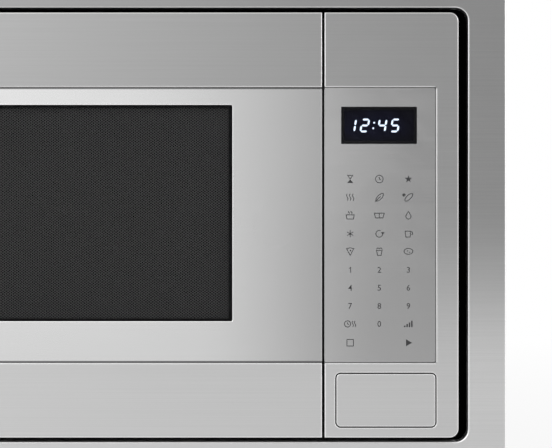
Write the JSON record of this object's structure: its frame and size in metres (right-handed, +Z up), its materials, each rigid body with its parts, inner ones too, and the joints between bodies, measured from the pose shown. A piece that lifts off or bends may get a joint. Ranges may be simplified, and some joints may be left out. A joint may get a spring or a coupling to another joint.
{
  "type": "built-in microwave oven",
  "caption": "Built-in microwave oven in a wide steel trim frame: side-hinged door with dark window, flush keypad, clock display, push-button release and glass turntable.",
  "frame": {"origin": "on the cabinet shelf, below the middle of the oven, in the plane of the cabinet face", "axes": "+X to the right seen from the front, +Y into the cabinet, +Z up; the door faces -Y"},
  "size_m": [0.683, 0.514, 0.486],
  "materials": {
    "stainless": "horizontally brushed stainless steel",
    "overlay": "steel-grey printed keypad film",
    "window_glass": "smoked window glass",
    "clear_pane": "clear inner pane",
    "screen": "dark grey enamelled perforated sheet",
    "black_plastic": "black moulded plastic",
    "display_black": "black gloss display lens",
    "white_plastic": "white moulded acetal",
    "body_sheet": "grey powder-coated sheet",
    "zinc_sheet": "zinc-plated steel sheet",
    "cavity_enamel": "light grey cavity enamel",
    "carrier_paint": "black painted steel",
    "rubber": "black rubber",
    "tray_glass": "clear tempered glass",
    "mica": "mica sheet",
    "copper_iron": "varnished laminated core and copper windings",
    "aluminium": "bare aluminium",
    "board": "green circuit board",
    "board_parts": "black moulded board parts",
    "bulb_glass": "clear lamp glass",
    "spring_steel": "bright spring steel"
  },
  "bodies": {
    "housing": {"trim_face_frame": "stainless", "trim_clips": "spring_steel", "side_brackets": "carrier_paint", "upper_crossbar": "carrier_paint", "support_deck": "zinc_sheet", "support_rails": "zinc_sheet", "feet": "rubber", "base_plate": "zinc_sheet", "outer_wrapper": "body_sheet", "rear_panel": "zinc_sheet", "front_frame": "body_sheet", "oven_cavity": "cavity_enamel", "upper_hinge": "zinc_sheet", "lower_hinge": "zinc_sheet", "screws": "spring_steel", "cord_bushing": "black_plastic", "waveguide": "zinc_sheet", "waveguide_cover": "mica", "magnetron": "aluminium", "air_duct": "black_plastic", "transformer": "copper_iron", "capacitor": "aluminium", "capacitor_clamp": "zinc_sheet", "high_voltage_diode": "board_parts", "fan_housing": "black_plastic", "fan_motor": "copper_iron", "turntable_motor": "zinc_sheet", "lamp_holder": "zinc_sheet", "oven_lamp": "bulb_glass", "filter_board": "board", "cavity_sensors": "board_parts", "latch_board": "white_plastic", "interlock_switches": "board_parts", "button_spring": "spring_steel", "panel_fascia": "stainless", "panel_carrier": "black_plastic", "keypad_overlay": "overlay", "display_lens": "display_black", "display_module": "board_parts", "control_board": "board", "board_relays": "board_parts"},
    "door": {"door_skin": "stainless", "door_glass": "window_glass", "door_screen": "screen", "door_frame": "carrier_paint", "door_inner_pane": "clear_pane", "choke_cover": "black_plastic", "hinge_bushes": "white_plastic", "key_spring": "spring_steel"},
    "key": {"door_key": "white_plastic"},
    "button": {"release_button": "black_plastic", "button_plate": "stainless"},
    "lever": {"release_lever": "white_plastic"},
    "coupler": {"drive_coupler": "white_plastic"},
    "tray": {"glass_tray": "tray_glass"},
    "ring": {"roller_ring": "white_plastic"},
    "roller_a": {"roller_1": "white_plastic"},
    "roller_b": {"roller_2": "white_plastic"},
    "roller_c": {"roller_3": "white_plastic"},
    "fan": {"fan_blade": "white_plastic"}
  },
  "joints": [
    {"name": "door_hinge", "type": "hinge", "parent": "housing", "child": "door", "pos_m": [-0.295, -0.016, 0.216], "axis": [0, 0, -1], "range_deg": [0, 105]},
    {"name": "button_press", "type": "slide", "parent": "housing", "child": "button", "axis": [0, 1, 0], "range_m": [0, 0.005], "stiffness_N_per_m": 500, "springref_m": -0.002, "deforming": ["button_spring"]},
    {"name": "lever_turn", "type": "hinge", "parent": "housing", "child": "lever", "pos_m": [0.1991, 0.0535, 0.11575], "axis": [1, 0, 0], "range_deg": [0, 10.34]},
    {"name": "key_slide", "type": "slide", "parent": "door", "child": "key", "axis": [0, 0, -1], "range_m": [0, 0.00491], "stiffness_N_per_m": 150, "springref_m": -0.005, "deforming": ["key_spring"]},
    {"name": "turntable_spin", "type": "hinge", "parent": "housing", "child": "coupler", "pos_m": [-0.05425, 0.2365, 0.092], "axis": [0, 0, 1], "continuous": true},
    {"name": "tray_lift", "type": "slide", "parent": "coupler", "child": "tray", "axis": [0, 0, 1], "range_m": [0, 0.03]},
    {"name": "ring_spin", "type": "hinge", "parent": "housing", "child": "ring", "pos_m": [-0.05425, 0.2365, 0.1003], "axis": [0, 0, 1], "continuous": true},
    {"name": "roller_a_roll", "type": "hinge", "parent": "ring", "child": "roller_a", "pos_m": [0.03971, 0.29075, 0.1003], "axis": [0.866, 0.5, 0], "continuous": true},
    {"name": "roller_b_roll", "type": "hinge", "parent": "ring", "child": "roller_b", "pos_m": [-0.14821, 0.29075, 0.1003], "axis": [-0.866, 0.5, 0], "continuous": true},
    {"name": "roller_c_roll", "type": "hinge", "parent": "ring", "child": "roller_c", "pos_m": [-0.05425, 0.128, 0.1003], "axis": [0, -1, 0], "continuous": true},
    {"name": "fan_spin", "type": "hinge", "parent": "housing", "child": "fan", "pos_m": [0.23362, 0.465, 0.236], "axis": [0, 1, 0], "continuous": true}
  ],
  "couplings": [
    {"joint": "lever_turn", "follows": "button_press", "rad_per_m": 35.907},
    {"joint": "key_slide", "follows": "button_press", "ratio": 0.9821},
    {"joint": "ring_spin", "follows": "turntable_spin", "ratio": 0.5},
    {"joint": "roller_a_roll", "follows": "turntable_spin", "ratio": -6.7812},
    {"joint": "roller_b_roll", "follows": "turntable_spin", "ratio": -6.7812},
    {"joint": "roller_c_roll", "follows": "turntable_spin", "ratio": -6.7812}
  ]
}
